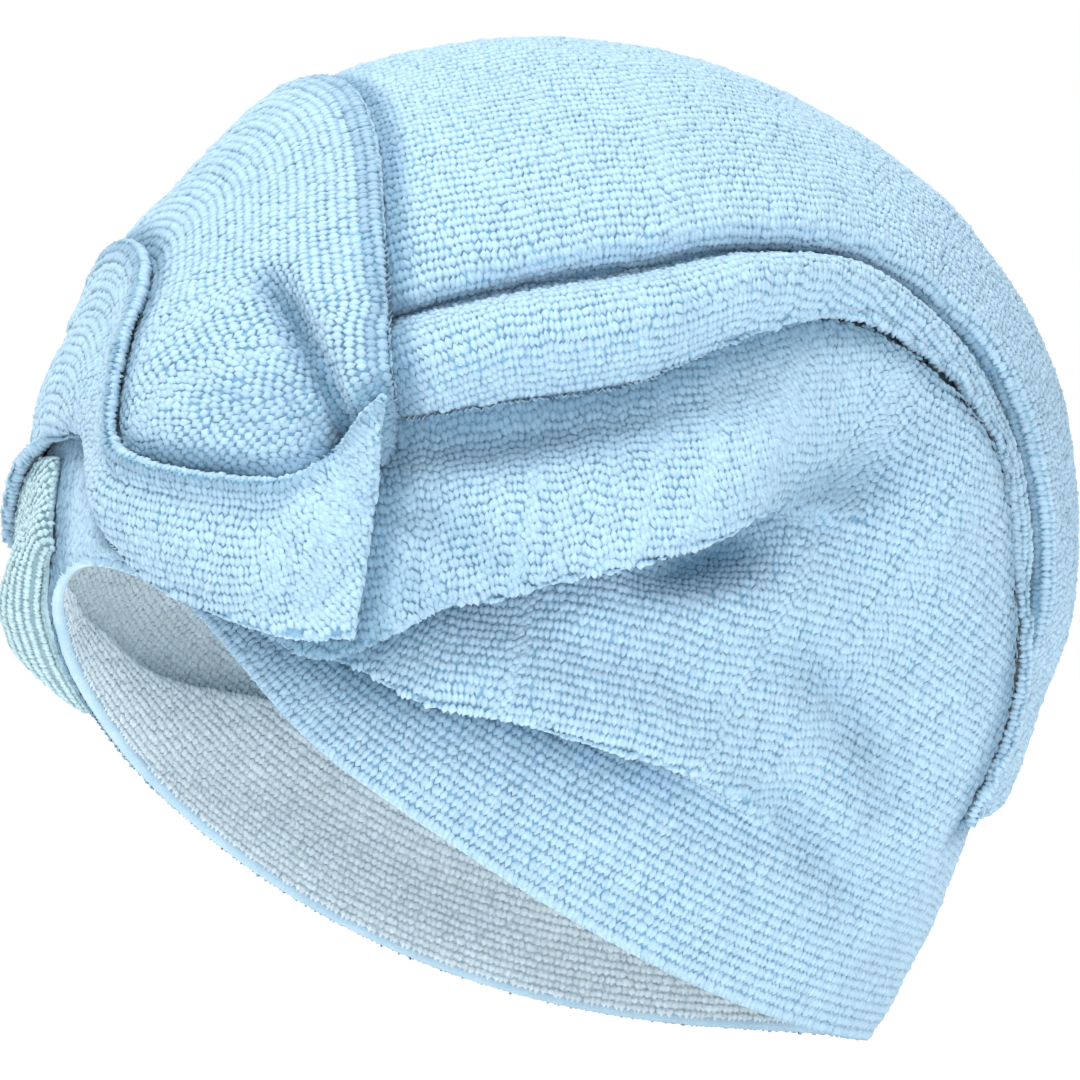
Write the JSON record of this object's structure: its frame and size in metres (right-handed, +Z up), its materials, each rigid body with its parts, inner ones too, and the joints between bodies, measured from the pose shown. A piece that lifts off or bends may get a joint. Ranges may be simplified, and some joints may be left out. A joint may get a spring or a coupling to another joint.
{
  "type": "hair turban towel",
  "caption": "Looped towelling head wrap as worn: a pleated hood with an open underside, and a twisted tail laid back over the crown.",
  "frame": {"origin": "middle of the head opening in plan, at the height of its lowest point, the nape", "axes": "+Z up, -Y the way the wearer looks, +X the wearer's left"},
  "size_m": [0.2016, 0.2463, 0.2259],
  "materials": {
    "towelling": "matt looped microfibre",
    "reverse_towelling": "matt finer loops of the reverse face",
    "edge_stitching": "pale overlocked edge",
    "button": "plain moulded button"
  },
  "bodies": {
    "root": {"hood": "towelling", "tail": "towelling", "front_lobe": "towelling", "forehead_wrap": "towelling", "temple_fold": "reverse_towelling", "hem_binding": "edge_stitching", "nape_button": "button"}
  },
  "joints": []
}
